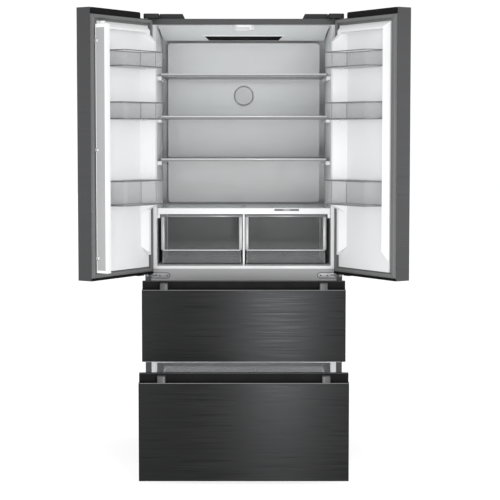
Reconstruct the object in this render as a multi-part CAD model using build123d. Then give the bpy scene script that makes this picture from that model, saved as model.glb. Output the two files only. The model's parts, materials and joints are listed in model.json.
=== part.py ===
from build123d import *
import os

# French door refrigerator: two hinged doors over two freezer drawers.
# Millimetres, +Z up, the front looks along -Y.  Every piece is designed with
# y = 0 on the cabinet's front plane and the doors and drawers shut, then moved
# to the stored pose (doors open, drawers part way out).

# ---------------------------------------------------------------- dimensions
CASE_W = 833.0
CASE_D = 610.0
CASE_TOP = 1874.0
CASE_BOTTOM = 38.0
SHEET = 1.2
FLANGE = 25.0
LINER = 2.0

DOOR_GAP = 12.0
DOOR_T = 70.0
DOOR_BOTTOM = 808.0
DOOR_TOP = 1892.0
DOOR_MID_GAP = 2.5
DOOR_OPEN = 123.0
PIVOT_SIDE = 12.0
PIVOT_INNER = 23.0
PIN_R = 5.0
PIN_FIT = 0.05

FRIDGE_HALF = 368.0
FRIDGE_Z0 = 837.0
FRIDGE_Z1 = 1849.0
FRIDGE_DEPTH = 560.0

UPPER_CAVITY = (490.0, 750.0, 560.0)
LOWER_CAVITY = (75.0, 425.0, 400.0)
MACHINE_Y0 = 450.0
MACHINE_Z1 = 330.0

UPPER_FRONT = (466.0, 793.0)
LOWER_FRONT = (23.0, 447.0)
UPPER_OUT = 172.0
LOWER_OUT = 390.0
RECESS_H = 32.0
RECESS_FLOOR = 26.0

SHELF_Z = (1651.0, 1471.0, 1289.0)
SHELF_FRONT = 116.0
SHELF_BACK = 486.0
SHELF_H = 12.0
BIN_Z = ((1662.0, 66.0), (1452.0, 70.0), (1105.0, 100.0))

FRAME_SHIFT = -74.0

HALF = CASE_W / 2
IN_FACE = -DOOR_GAP
OUT_FACE = -DOOR_GAP - DOOR_T
PIVOT_X = -HALF + PIVOT_SIDE
PIVOT_Y = IN_FACE - PIVOT_INNER


# ------------------------------------------------------------------- helpers
def block(x0, x1, y0, y1, z0, z1):
    body = Box(x1 - x0, y1 - y0, z1 - z0)
    return Pos((x0 + x1) / 2, (y0 + y1) / 2, (z0 + z1) / 2) * body


def rod(x, y, z0, z1, r):
    return Pos(x, y, (z0 + z1) / 2) * Cylinder(r, z1 - z0)


def rod_x(x0, x1, y, z, r):
    return Pos((x0 + x1) / 2, y, z) * Rot(0, 90, 0) * Cylinder(r, x1 - x0)


def rod_y(x, y0, y1, z, r):
    return Pos(x, (y0 + y1) / 2, z) * Rot(90, 0, 0) * Cylinder(r, y1 - y0)


def prism_x(points_yz, x0, x1):
    face = Plane.YZ * make_face(Polyline(*points_yz, close=True))
    return Pos(x0, 0, 0) * extrude(face, x1 - x0)


def prism_y(points_xz, y0, y1):
    face = Plane.XZ * make_face(Polyline(*points_xz, close=True))
    return Pos(0, y1, 0) * extrude(face, y1 - y0)


def prism_z(points_xy, z0, z1):
    face = make_face(Polyline(*points_xy, close=True))
    return Pos(0, 0, z0) * extrude(face, z1 - z0)


def flip(shape):
    return mirror(shape, Plane.YZ)


def group(*shapes):
    solids = []
    for shape in shapes:
        solids.extend(shape.solids())
    return Compound(solids)


def open_door(shape, side):
    # side -1 is the left door, +1 the right one
    px = PIVOT_X if side < 0 else -PIVOT_X
    return Pos(px, PIVOT_Y, 0) * Rot(0, 0, side * DOOR_OPEN) * Pos(-px, -PIVOT_Y, 0) * shape


def tube(points, radius, bend):
    path = FilletPolyline(*points, radius=bend)
    start = Plane(origin=path @ 0, z_dir=path % 0)
    return sweep(start * Circle(radius), path=path)


parts = {}

# ------------------------------------------------------------------- cabinet
FRAME_IN = HALF - FLANGE
side_sheet = block(-HALF, -HALF + SHEET, 0, CASE_D, CASE_BOTTOM, CASE_TOP)
side_sheet += block(-HALF, -FRAME_IN, 0, SHEET, CASE_BOTTOM, CASE_TOP)
side_sheet = fillet(side_sheet.edges().filter_by(Axis.Z).group_by(Axis.Y)[0].sort_by(Axis.X)[0], 1)
top_sheet = block(-HALF + SHEET, HALF - SHEET, SHEET, CASE_D, CASE_TOP - SHEET, CASE_TOP)
top_sheet += block(-FRAME_IN, FRAME_IN, 0, SHEET, FRIDGE_Z1, CASE_TOP)
parts["outer_case"] = group(side_sheet, flip(side_sheet), top_sheet)

BAR_X = FRAME_IN - 0.3
BAR_D = 30.0


def crossbar(z0, z1):
    bar = block(-BAR_X, BAR_X, 0, BAR_D, z0, z1)
    return bar - block(-BAR_X - 1, BAR_X + 1, 2, BAR_D + 1, z0 + 2, z1 - 2)


UPPER_BAR = (768.0, 825.0)
LOWER_BAR = (430.0, 486.0)
parts["crossbars"] = group(crossbar(*UPPER_BAR), crossbar(*LOWER_BAR))

# insulation poured between the case and the three liners
foam = block(-HALF + SHEET, HALF - SHEET, 2, CASE_D, CASE_BOTTOM + 2, CASE_TOP - SHEET)
foam -= block(
    -FRIDGE_HALF - LINER, FRIDGE_HALF + LINER, 0, FRIDGE_DEPTH + LINER, FRIDGE_Z0 - LINER, FRIDGE_Z1 + LINER
)
for z0, z1, depth in (UPPER_CAVITY, LOWER_CAVITY):
    foam -= block(-FRIDGE_HALF - LINER, FRIDGE_HALF + LINER, 0, depth + LINER, z0 - LINER, z1 + LINER)
foam -= block(-HALF, HALF, MACHINE_Y0, CASE_D + 1, CASE_BOTTOM - 1, MACHINE_Z1)
for z0, z1 in (UPPER_BAR, LOWER_BAR):
    foam -= block(-BAR_X - 0.2, BAR_X + 0.2, 0, BAR_D + 0.2, z0 - 0.2, z1 + 0.2)
parts["cabinet_foam"] = foam


def liner_shell(z0, z1, depth, flange_z0, flange_z1):
    outer = block(-FRIDGE_HALF - LINER, FRIDGE_HALF + LINER, LINER, depth + LINER, z0 - LINER, z1 + LINER)
    outer += block(-BAR_X, BAR_X, 0.2, LINER, flange_z0, flange_z1)
    cavity = block(-FRIDGE_HALF, FRIDGE_HALF, -1, depth, z0, z1)
    return outer - cavity


liner = liner_shell(FRIDGE_Z0, FRIDGE_Z1, FRIDGE_DEPTH, UPPER_BAR[1] + 0.5, FRIDGE_Z1)
RUNNER_Y1 = 500.0
for shelf_z in SHELF_Z:
    for side in (-1, 1):
        x_wall = side * FRIDGE_HALF
        x_in = side * (FRIDGE_HALF - 16)
        ledge_z = shelf_z - SHELF_H
        ledge_x = (min(x_wall, x_in), max(x_wall, x_in))
        liner += block(*ledge_x, SHELF_FRONT + 4, RUNNER_Y1, ledge_z - 16, ledge_z)
for side in (-1, 1):
    x_wall = side * FRIDGE_HALF
    x_in = side * (FRIDGE_HALF - 11)
    liner += block(min(x_wall, x_in), max(x_wall, x_in), 70, 478, 1036, 1052)

upper_liner = liner_shell(*UPPER_CAVITY, LOWER_BAR[1] + 0.5, UPPER_BAR[0] - 0.5)
lower_liner = liner_shell(*LOWER_CAVITY, 55.0, LOWER_BAR[0] - 0.5)
parts["liners"] = group(liner, upper_liner, lower_liner)

# base pan with a front lip, two roller lugs a side and a flat machine floor
ROLLER_X = 355.0
ROLLER_Y = 560.0
ROLLER_R = 16.0
AXLE_R = 4.0
base = block(-HALF + 2, HALF - 2, 2, CASE_D - 2, CASE_BOTTOM - 2, CASE_BOTTOM)
base += block(-BAR_X, BAR_X, 0.2, 2, CASE_BOTTOM - 2, 54.5)
for side in (-1, 1):
    for offset in (-17.0, 17.0):
        x_mid = side * ROLLER_X + offset
        lug = block(x_mid - 1.5, x_mid + 1.5, ROLLER_Y - 14, ROLLER_Y + 14, 6, CASE_BOTTOM - 2)
        base += lug
    base += rod_x(side * ROLLER_X - 18, side * ROLLER_X + 18, ROLLER_Y, ROLLER_R, AXLE_R)
parts["base_pan"] = base

FOOT_X = 355.0
FOOT_Y = 50.0


def levelling_foot(x):
    foot = rod(x, FOOT_Y, 0, 8, 19)
    foot = fillet(foot.edges().group_by(Axis.Z)[-1], 3)
    foot += rod(x, FOOT_Y, 8, 16, 11)
    foot += rod(x, FOOT_Y, 16, CASE_BOTTOM - 2, 6)
    return foot


parts["front_feet"] = group(levelling_foot(-FOOT_X), levelling_foot(FOOT_X))


def roller(x):
    wheel = rod_x(x - 12, x + 12, ROLLER_Y, ROLLER_R, ROLLER_R)
    wheel = chamfer(wheel.edges().filter_by(GeomType.CIRCLE), 1.5)
    return wheel - rod_x(x - 13, x + 13, ROLLER_Y, ROLLER_R, AXLE_R + PIN_FIT)


parts["roller_left"] = roller(-ROLLER_X)
parts["roller_right"] = roller(ROLLER_X)

# --------------------------------------------------------------- door hinges
TOP_PLATE_T = 5.0
DOOR_SHOULDER = 1868.0
MID_ARM_Z = (797.0, 802.0)
MID_PLATE_Z = 797.0
MID_PLATE_R = 12.0

top_hinge = prism_z(
    [
        (-HALF + 2, PIVOT_Y), (-HALF + 2, 100), (-HALF + 52, 100), (-HALF + 52, 10), (PIVOT_X + 11, PIVOT_Y),
    ],
    CASE_TOP, CASE_TOP + TOP_PLATE_T,
)
top_hinge += rod(PIVOT_X, PIVOT_Y, CASE_TOP, CASE_TOP + TOP_PLATE_T, 10.5)
top_hinge += rod(PIVOT_X, PIVOT_Y, CASE_TOP - 28, CASE_TOP, PIN_R)

mid_hinge = block(-BAR_X, -323.5, -3, 0, MID_PLATE_Z - MID_PLATE_R, MID_PLATE_Z + MID_PLATE_R)
mid_hinge += rod_y(-323.5, -3, 0, MID_PLATE_Z, MID_PLATE_R)
mid_hinge += prism_z(
    [
        (PIVOT_X - 10, PIVOT_Y), (PIVOT_X - 10, -16), (-BAR_X, 0),
        (-366, 0), (-366, -6), (PIVOT_X + 11, PIVOT_Y),
    ],
    *MID_ARM_Z,
)
mid_hinge += rod(PIVOT_X, PIVOT_Y, MID_ARM_Z[0], MID_ARM_Z[1], 10.5)
mid_hinge += rod(PIVOT_X, PIVOT_Y, MID_ARM_Z[1], MID_ARM_Z[1] + 30, PIN_R)
HINGE_TOP_SCREWS = ((-HALF + 16, 40.0), (-HALF + 38, 62.0), (-HALF + 16, 84.0))
HINGE_MID_SCREWS = ((-354.0, MID_PLATE_Z), (-324.0, MID_PLATE_Z))


def hinge_screw_set():
    screws = []
    for x, y in HINGE_TOP_SCREWS:
        screws.append(rod(x, y, CASE_TOP + TOP_PLATE_T, CASE_TOP + TOP_PLATE_T + 4, 6))
    for x, z in HINGE_MID_SCREWS:
        screws.append(rod_y(x, -6, -3, z, 5))
    return screws


hinge_set = [top_hinge, mid_hinge] + hinge_screw_set()
parts["hinge_hardware"] = group(*hinge_set, *[flip(piece) for piece in hinge_set])

COVER_X1 = -352.0
WING_H = 21.0
cover = block(-HALF, COVER_X1, -52, 104, CASE_TOP, DOOR_TOP)
cover = fillet(cover.edges().filter_by(Axis.Z).group_by(Axis.Y)[0], 10)
cover = fillet(cover.edges().group_by(Axis.Z)[-1], 3)
wing = block(COVER_X1, -248, 12, 104, CASE_TOP, CASE_TOP + WING_H)
cover += chamfer(wing.edges().group_by(Axis.X)[-1].sort_by(Axis.Z)[-1], 16, 8)
cover -= block(-HALF + 1.5, COVER_X1 - 2.5, -49.5, 101, CASE_TOP - 1, DOOR_TOP - 3)
cover -= block(COVER_X1 - 5, -262, 15, 101, CASE_TOP - 1, CASE_TOP + WING_H - 3)
parts["top_hinge_covers"] = group(cover, flip(cover))

# ------------------------------------------------------------------ interior
guide = block(-41, 41, 4, 62, 1827, FRIDGE_Z1)
guide = chamfer(guide.edges().filter_by(Axis.Z).group_by(Axis.Y)[0], 12)
guide -= block(-36, 24, 3, 47, 1826, 1839)
parts["mullion_guide"] = guide

# sloped ceiling cover with the lamp let into it
LAMP_Y = (332.0, 457.0)
LAMP_HALF = (171.0, 155.0)
LAMP_Z = (1824.5, 1814.2)
ceiling = prism_x([(64, FRIDGE_Z1), (330, 1824.6), (460, 1814), (499, 1813), (499, FRIDGE_Z1)], -360, 360)


def lamp_slab(grow, lift, thick):
    y0, y1 = LAMP_Y
    half_0, half_1 = LAMP_HALF
    plan = [
        (-half_0 - grow, y0 - grow), (half_0 + grow, y0 - grow),
        (half_1 + grow, y1 + grow), (-half_1 - grow, y1 + grow),
    ]
    z0, z1 = LAMP_Z[0] + lift, LAMP_Z[1] + lift
    side = [(y0 - 9, z0 + 0.7), (y1 + 9, z1 - 0.7), (y1 + 9, z1 + thick), (y0 - 9, z0 + thick)]
    slab = prism_x(side, -190, 190)
    return slab & prism_z(plan, LAMP_Z[1] - 30, LAMP_Z[0] + 30)


rim = lamp_slab(8, -2.4, 6)
pocket = lamp_slab(0.3, -8, 13)
parts["lamp_housing"] = ceiling + rim - pocket
parts["lamp_lens"] = lamp_slab(0, -2.6, 3.4)

PANEL_Y = 500.0
VENT_Z = 1566.0
VENT_R = 46.0
panel = block(-342, 342, PANEL_Y, PANEL_Y + 12, 1084, 1802)
panel = fillet(panel.edges().filter_by(Axis.Y), 14)
duct = block(-336, 336, PANEL_Y + 12, FRIDGE_DEPTH, 1090, 1796)
panel += duct - block(-333, 333, PANEL_Y + 11, FRIDGE_DEPTH + 1, 1093, 1793)
panel -= rod_y(0, PANEL_Y - 1, PANEL_Y + 13, VENT_Z, VENT_R)
freezer_panel = block(-364, 364, 470, 474, 494, 746) - rod_y(0, 469, 475, 690, 52)
parts["back_panels"] = group(panel, freezer_panel)

# round air outlet: a ring and a disc with a narrow annular slot between them
outlet = rod_y(0, PANEL_Y - 4, PANEL_Y + 8, VENT_Z, VENT_R - 0.3)
outlet -= rod_y(0, PANEL_Y - 5, PANEL_Y + 9, VENT_Z, VENT_R - 3)
outlet += rod_y(0, PANEL_Y - 4, PANEL_Y + 2, VENT_Z, VENT_R - 6)
for spoke in range(4):
    turn = Pos(0, PANEL_Y + 1.5, VENT_Z) * Rot(0, 45 + spoke * 90, 0)
    outlet += turn * Pos(VENT_R - 6.5, 0, 0) * Box(11, 3, 8)
parts["vent_outlet"] = outlet

GLASS_T = 4.0
SHELF_HALF = 358.0


def shelf_glass(z):
    return block(-SHELF_HALF + 14, SHELF_HALF - 14, SHELF_FRONT + 8, SHELF_BACK - 8, z - 6, z - 6 + GLASS_T)


def shelf_trim(z):
    trim = block(-SHELF_HALF, SHELF_HALF, SHELF_FRONT, SHELF_BACK, z - SHELF_H, z)
    trim = fillet(trim.edges().filter_by(Axis.Z), 6)
    half = SHELF_HALF
    trim -= block(-half + 20, half - 20, SHELF_FRONT + 12, SHELF_BACK - 12, z - SHELF_H - 1, z + 1)
    trim -= block(-half + 14, half - 14, SHELF_FRONT + 8, SHELF_BACK - 8, z - 6, z + 1)
    return trim


parts["shelf_trims"] = group(*[shelf_trim(z) for z in SHELF_Z])

# crisper cover: a white frame with a glass top, two bays and a centre rail
COVER_Y = (66.0, 480.0)
COVER_Z = (1052.0, 1079.0)
frame = block(-FRIDGE_HALF + 1, FRIDGE_HALF - 1, *COVER_Y, *COVER_Z)
frame = fillet(frame.edges().filter_by(Axis.X).group_by(Axis.Y)[0], 3)
frame -= block(-350, -12, COVER_Y[0] + 16, COVER_Y[1] - 14, COVER_Z[0] - 1, COVER_Z[1] + 1)
frame -= block(12, 350, COVER_Y[0] + 16, COVER_Y[1] - 14, COVER_Z[0] - 1, COVER_Z[1] + 1)
frame -= block(-357, 357, COVER_Y[0] + 10, COVER_Y[1] - 7, COVER_Z[1] - 5, COVER_Z[1] + 1)
frame -= block(130, 236, COVER_Y[0] - 1, COVER_Y[0] + 4, COVER_Z[0] + 14, COVER_Z[1] - 4)
frame += block(-4, 4, COVER_Y[0] + 8, COVER_Y[1] - 6, FRIDGE_Z0, COVER_Z[0])
parts["crisper_frame"] = frame
crisper_glass = block(-356, 356, COVER_Y[0] + 11, COVER_Y[1] - 8, COVER_Z[1] - 5, COVER_Z[1] - 1)
parts["glass_plates"] = group(*[shelf_glass(z) for z in SHELF_Z], crisper_glass)

slider = block(168, 198, COVER_Y[0] - 2, COVER_Y[0] + 3.7, COVER_Z[0] + 14.3, COVER_Z[1] - 4.3)
slider = chamfer(slider.edges().filter_by(Axis.Z).group_by(Axis.Y)[0], 1)
parts["humidity_slider"] = slider


def crisper(x0, x1):
    y0, y1, z0, z1 = 68.0, 462.0, 840.0, 1049.0
    outer = prism_x([(y0, z1), (y0 + 14, z0), (y1, z0), (y1, z1)], x0 + 4, x1 - 4)
    outer = fillet(outer.edges().filter_by(Axis.Z), 5)
    rim = block(x0, x1, y0 - 2, y1, z1 - 10, z1)
    inner = prism_x(
        [(y0 + 3, z1 + 1), (y0 + 16.7, z0 + 3), (y1 - 3, z0 + 3), (y1 - 3, z1 + 1)],
        x0 + 7, x1 - 7,
    )
    ridge = block(x0 + 8, x1 - 8, y0 + 3, y0 + 12, 896, 901)
    return outer + rim + ridge - inner


parts["crisper_left"] = crisper(-353, -5.5)
parts["crisper_right"] = crisper(5.5, 353)

# ------------------------------------------------------------------ left door
X_HINGE = -HALF
X_FREE = -DOOR_MID_GAP
NOTCH_X = X_HINGE + 84
FRAME_Y = IN_FACE - 12
LINER_X = (X_HINGE + 38, X_FREE - 38)
LINER_Z = (841.0, 1840.0)
CAP_Z = (808.0, 819.0)


def pivot_bore(z0, z1):
    return rod(PIVOT_X, PIVOT_Y, z0, z1, PIN_R + PIN_FIT)


skin = block(X_HINGE, X_FREE, OUT_FACE, IN_FACE - 1, DOOR_BOTTOM + 1, DOOR_TOP)
skin = fillet(skin.edges().filter_by(Axis.Z).group_by(Axis.Y)[0], 4)
skin -= block(X_HINGE + SHEET, X_FREE - SHEET, OUT_FACE + SHEET, IN_FACE, DOOR_BOTTOM, DOOR_TOP + 1)
skin -= block(X_HINGE - 1, NOTCH_X, OUT_FACE - 1, IN_FACE + 1, DOOR_SHOULDER, DOOR_TOP + 1)

CORE_X = (X_HINGE + SHEET, X_FREE - SHEET)
CORE_Y = (OUT_FACE + SHEET, FRAME_Y)
core = block(*CORE_X, *CORE_Y, CAP_Z[1], DOOR_SHOULDER - 2)
core -= pivot_bore(CASE_TOP - 30, DOOR_SHOULDER)
core -= pivot_bore(CAP_Z[1] - 1, MID_ARM_Z[1] + 32)

door_frame = block(*CORE_X, FRAME_Y, IN_FACE, CAP_Z[1], DOOR_SHOULDER - 2)
door_frame = fillet(door_frame.edges().filter_by(Axis.Z).group_by(Axis.Y)[-1], 4)
door_frame -= block(LINER_X[0], LINER_X[1], FRAME_Y - 1, IN_FACE + 1, *LINER_Z)
door_frame -= block(X_FREE - 11, X_FREE - 7, IN_FACE - 9, IN_FACE + 1, 866, 1806)

top_cap = block(NOTCH_X + 0.2, X_FREE - 4, OUT_FACE + SHEET, IN_FACE, DOOR_SHOULDER, DOOR_TOP)
top_cap = fillet(top_cap.edges().filter_by(Axis.Y).group_by(Axis.Z)[-1], 8)
top_cap += block(*CORE_X, OUT_FACE + SHEET, IN_FACE, DOOR_SHOULDER - 2, DOOR_SHOULDER)
top_cap -= pivot_bore(DOOR_SHOULDER - 3, DOOR_SHOULDER + 1)
bottom_cap = block(*CORE_X, OUT_FACE + SHEET, IN_FACE, *CAP_Z)
bottom_cap += block(PIVOT_X + 2, PIVOT_X + 38, PIVOT_Y - 42, PIVOT_Y - 16, CAP_Z[0] - 9, CAP_Z[0])
bottom_cap -= pivot_bore(CAP_Z[0] - 1, CAP_Z[1] + 1)

# white inner liner: a shallow pan whose raised border carries the bins; the border
# slopes outwards, is highest on the hinge side and stops short of the bottom
DIKE_HINGE_X = -363.0
DIKE_Y = 14.0
EAR_Y = 45.0
FLOOR_Y = IN_FACE + 5
BIN_X0 = -351.0
BIN_Y = (-4.0, 92.0)
DIKE_TOP_Z = 1818.0
DIKE_END_Z = (878.0, 928.0)


def pan(bin_x1):
    x0, x1 = LINER_X
    z0, z1 = LINER_Z
    crest = bin_x1 + 2
    border_plan = [
        (x0, FRAME_Y), (x0, IN_FACE + 3), (DIKE_HINGE_X - 3, IN_FACE + 3), (DIKE_HINGE_X, DIKE_Y),
        (crest, DIKE_Y), (crest + 24, IN_FACE + 3), (x1, IN_FACE + 3), (x1, FRAME_Y),
    ]
    border_side = [
        (FRAME_Y, z0), (FRAME_Y, z1), (IN_FACE + 3, z1), (DIKE_Y, DIKE_TOP_Z), (DIKE_Y, z0),
    ]
    shape = prism_z(border_plan, z0, z1) & prism_x(border_side, x0, x1)
    ear_plan = [
        (-322, FLOOR_Y), (-352, EAR_Y), (DIKE_HINGE_X, EAR_Y), (DIKE_HINGE_X, IN_FACE), (-322, IN_FACE),
    ]
    ear_top = DIKE_TOP_Z - 16
    ear_side = [(IN_FACE, 1066), (EAR_Y, 1100), (EAR_Y, 1770), (DIKE_Y, ear_top), (IN_FACE, ear_top)]
    ear = prism_z(ear_plan, 1060, DIKE_TOP_Z) & prism_x(ear_side, -370, -300)
    floor_plan = [(-322, FLOOR_Y), (-352, DIKE_Y + 1), (bin_x1 + 1, DIKE_Y + 1), (bin_x1 + 1, FLOOR_Y)]
    shape -= prism_z(floor_plan, z0 - 1, DIKE_TOP_Z - 8)
    lower_end = [
        (x0 - 1, z0 - 1), (x1 + 1, z0 - 1), (x1 + 1, DIKE_END_Z[0] - 8), (crest + 24, DIKE_END_Z[0]),
        (bin_x1, DIKE_END_Z[1]), (-322, DIKE_END_Z[1]), (x0 - 1, DIKE_END_Z[0]),
    ]
    shape -= prism_y(lower_end, FLOOR_Y, DIKE_Y + 1)
    shape += ear
    for z, height in BIN_Z:
        shape += block(bin_x1 - 12, bin_x1 + 1, FLOOR_Y, DIKE_Y - 2, z - 6, z)
        shape += block(-351, -326, FLOOR_Y, 20, z - 6, z)
    return shape


def door_bin(z0, height, bin_x1):
    def outline(inset):
        y0, y1 = BIN_Y
        plan = [
            (BIN_X0 + inset, y1 - inset), (bin_x1 - inset, y1 - inset), (bin_x1 - inset, y0 + inset),
            (-321 + inset, y0 + inset), (BIN_X0 + inset, 50 + inset * 0.6),
        ]
        floor_z = z0 + inset
        tray = prism_z(plan, floor_z, z0 + height + (1 if inset else 0))
        return fillet(tray.edges().filter_by(Axis.Z).group_by(Axis.Y)[-1], 14 - inset)

    return outline(0) - outline(3)


LEFT_BIN_X1 = -90.0
RIGHT_BIN_X1 = -64.0

GASKET_W = 13.0
GASKET_Y = (IN_FACE, -0.5)


def ring_xz(x0, x1, z0, z1, width, y0, y1):
    outer = block(x0, x1, y0, y1, z0, z1)
    return outer - block(x0 + width, x1 - width, y0 - 1, y1 + 1, z0 + width, z1 - width)


gasket = ring_xz(X_HINGE + 16, X_FREE - 3, 824, 1863, GASKET_W, *GASKET_Y)

# flip mullion on the left door, modelled folded back against the door's side
MULLION_PIVOT = (-23.5, 9.0)
MULLION_Z = (842.0, 1825.0)
LUG_Z = (900.0, 1330.0, 1760.0)
LUG_PIN_R = 2.5
mx, my = MULLION_PIVOT
PLATE_X = (mx - 1.5, mx + 39.5)
PLATE_Z = (MULLION_Z[0] + 10, MULLION_Z[1] - 14)
mullion = block(mx - 6, mx + 50, 0.5, 23, *MULLION_Z)
mullion = fillet(mullion.edges().filter_by(Axis.Z), 2)
mullion -= block(*PLATE_X, 0, 2, *PLATE_Z)
mullion += block(mx + 18, mx + 34, 6, 16, MULLION_Z[1] - 1, 1836)
plate = block(*PLATE_X, 0.5, 2, *PLATE_Z)
lugs = Part()
for lug_z in LUG_Z:
    mullion -= block(mx - 7, mx + 9, 0, 24, lug_z - 7, lug_z + 7)
    plate -= block(mx - 7, mx + 9, 0, 24, lug_z - 7, lug_z + 7)
    mullion -= rod(mx, my, lug_z - 20, lug_z + 20, LUG_PIN_R + PIN_FIT)
    lug = block(mx - 6, mx + 2, IN_FACE, my, lug_z - 6, lug_z + 6)
    lug += rod(mx, my, lug_z - 6, lug_z + 6, 6)
    lug += rod(mx, my, lug_z - 18, lug_z + 18, LUG_PIN_R)
    lugs += lug
fold = Pos(mx, my, 0) * Rot(0, 0, 90) * Pos(-mx, -my, 0)
mullion = fold * mullion
plate = fold * plate

door_panel = core + door_frame
door_pieces = {
    "skin": skin,
    "caps": group(top_cap, bottom_cap),
}
for name, shape in door_pieces.items():
    parts["left_door_" + name] = open_door(shape, -1)
    parts["right_door_" + name] = open_door(flip(shape), 1)
for prefix, side, bin_x1 in (("left", -1, LEFT_BIN_X1), ("right", 1, RIGHT_BIN_X1)):
    liner_pan = pan(bin_x1)
    bins = group(*[door_bin(z0, height, bin_x1) for z0, height in BIN_Z])
    if side > 0:
        liner_pan = flip(liner_pan)
        bins = flip(bins)
    parts[prefix + "_door_liner"] = open_door(liner_pan, side)
    parts[prefix + "_door_bins"] = open_door(bins, side)
parts["left_door_panel"] = open_door(door_panel + lugs, -1)
parts["right_door_panel"] = open_door(flip(door_panel), 1)
parts["left_door_gasket"] = open_door(gasket, -1)
parts["right_door_gasket"] = open_door(flip(gasket), 1)
parts["mullion_body"] = open_door(mullion, -1)
parts["mullion_plate"] = open_door(plate, -1)

# ------------------------------------------------------------ freezer drawers
FRONT_HALF = 415.0
RAIL_X = 340.0
RAIL_H = 40.0
BASKET_HALF = 334.0
RIB_X = (310.0, 340.0)


def drawer_pieces(z0, z1, basket_z0, basket_z1, basket_depth, rail_z, rail_end, gasket_z):
    lip = z1 - RECESS_H
    inside = FRONT_HALF - SHEET
    face = block(-FRONT_HALF, FRONT_HALF, OUT_FACE, IN_FACE - 1, z0 + 1, z1)
    face = fillet(face.edges().filter_by(Axis.Z).group_by(Axis.Y)[0], 4)
    face -= block(-inside, inside, OUT_FACE + SHEET, IN_FACE, z0, z1 + 1)
    face -= block(-FRONT_HALF - 1, FRONT_HALF + 1, OUT_FACE - 1, OUT_FACE + 44, lip, z1 + 1)

    back = OUT_FACE + 44
    channel = block(-inside, inside, OUT_FACE + SHEET, IN_FACE, lip - 34, lip - RECESS_FLOOR)
    channel += block(-inside, inside, back, IN_FACE, lip - RECESS_FLOOR, z1)
    for side in (-1, 1):
        rib_x0 = min(side * RIB_X[0], side * RIB_X[1])
        rib_x1 = max(side * RIB_X[0], side * RIB_X[1])
        channel += block(rib_x0, rib_x1, OUT_FACE + SHEET + 1, back, lip - RECESS_FLOOR, z1 - 6)

    inner = block(-inside, inside, OUT_FACE + SHEET, IN_FACE, z0, lip - 34)
    inner += block(-336, 336, IN_FACE, IN_FACE + 6, gasket_z[0] + 26, lip - 40)
    seal = ring_xz(-404, 404, gasket_z[0], gasket_z[1], GASKET_W, IN_FACE, -0.5)

    depth = basket_depth
    basket = prism_x(
        [(0, basket_z1), (16, basket_z0), (depth - 16, basket_z0), (depth, basket_z1)],
        -BASKET_HALF + 6, BASKET_HALF - 6,
    )
    basket += block(-BASKET_HALF, BASKET_HALF, -2, depth + 2, basket_z1 - 12, basket_z1)
    basket -= prism_x(
        [
            (3, basket_z1 + 1), (18.8, basket_z0 + 3),
            (depth - 18.8, basket_z0 + 3), (depth - 3, basket_z1 + 1),
        ],
        -BASKET_HALF + 9, BASKET_HALF - 9,
    )
    scoop = [(-275, basket_z1 + 1), (-240, basket_z1 - 14), (240, basket_z1 - 14), (275, basket_z1 + 1)]
    basket -= prism_y(scoop, -3, 6)

    def both(shape):
        return group(shape, flip(shape))

    fixed = block(352, FRIDGE_HALF, 4, rail_end, rail_z, rail_z + RAIL_H)
    fixed -= block(351, 364, 3, rail_end + 1, rail_z + 4, rail_z + RAIL_H - 4)
    middle = block(353, 363.5, 4, rail_end - 10, rail_z + 4.5, rail_z + RAIL_H - 4.5)
    middle -= block(352, 359, 3, rail_end, rail_z + 12, rail_z + RAIL_H - 12)
    carrier = block(RAIL_X, 351.5, IN_FACE, rail_end - 20, rail_z + 5, rail_z + RAIL_H - 5)
    carrier += block(350, 358.5, 4, rail_end - 20, rail_z + 12.5, rail_z + RAIL_H - 12.5)
    return {
        "skin": face,
        "channel": channel,
        "panel": inner,
        "gasket": seal,
        "basket": basket,
        "rail_fixed": both(fixed),
        "rail_middle": both(middle),
        "rail_carrier": both(carrier),
    }


upper = drawer_pieces(*UPPER_FRONT, 500, 738, 450, 520, 460, (471, 765))
lower = drawer_pieces(*LOWER_FRONT, 88, 412, 372, 120, 392, (58, 441))
for prefix, pieces, out in (("upper", upper, UPPER_OUT), ("lower", lower, LOWER_OUT)):
    for name in ("skin", "channel", "panel", "gasket", "basket", "rail_carrier"):
        parts[prefix + "_drawer_" + name] = Pos(0, -out, 0) * pieces[name]
    parts[prefix + "_drawer_rail_middle"] = Pos(0, -out / 2, 0) * pieces["rail_middle"]
parts["rail_fixed"] = group(upper["rail_fixed"], lower["rail_fixed"])

# ------------------------------------------------------- refrigeration system
evaporator = block(-250, 250, 492, 495, 505, 620)
for fin in range(21):
    fin_x = -250 + fin * 24.9
    evaporator += block(fin_x, fin_x + 2, 492, 545, 505, 620)
for end_x in (-250, 248):
    evaporator += block(end_x, end_x + 2, 545, FRIDGE_DEPTH, 530, 600)
for row_z in (520, 545, 570, 595):
    evaporator += rod_x(-250, 250, 520, row_z, 5)
parts["evaporator"] = evaporator


def fan(radius, hub_r, blades, width, bore):
    rotor = Cylinder(hub_r, width)
    blade = Rot(32, 0, 0) * Pos((hub_r + radius) / 2 - 1, 0, 0) * Box(radius - hub_r + 2, width * 1.1, 1.6)
    for index in range(blades):
        rotor += Rot(0, 0, index * 360 / blades) * blade
    return rotor - Cylinder(bore, width * 3)


MOTOR_PIN = 3.0
FREEZER_FAN = (0.0, 505.0, 690.0)
CONDENSER_FAN = (-190.0, 530.0, 150.0)
parts["freezer_fan"] = Pos(*FREEZER_FAN) * Rot(90, 0, 0) * fan(45, 13, 6, 16, MOTOR_PIN + PIN_FIT)
parts["condenser_fan"] = Pos(*CONDENSER_FAN) * Rot(0, 90, 0) * fan(58, 16, 6, 20, MOTOR_PIN + PIN_FIT)

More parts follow.
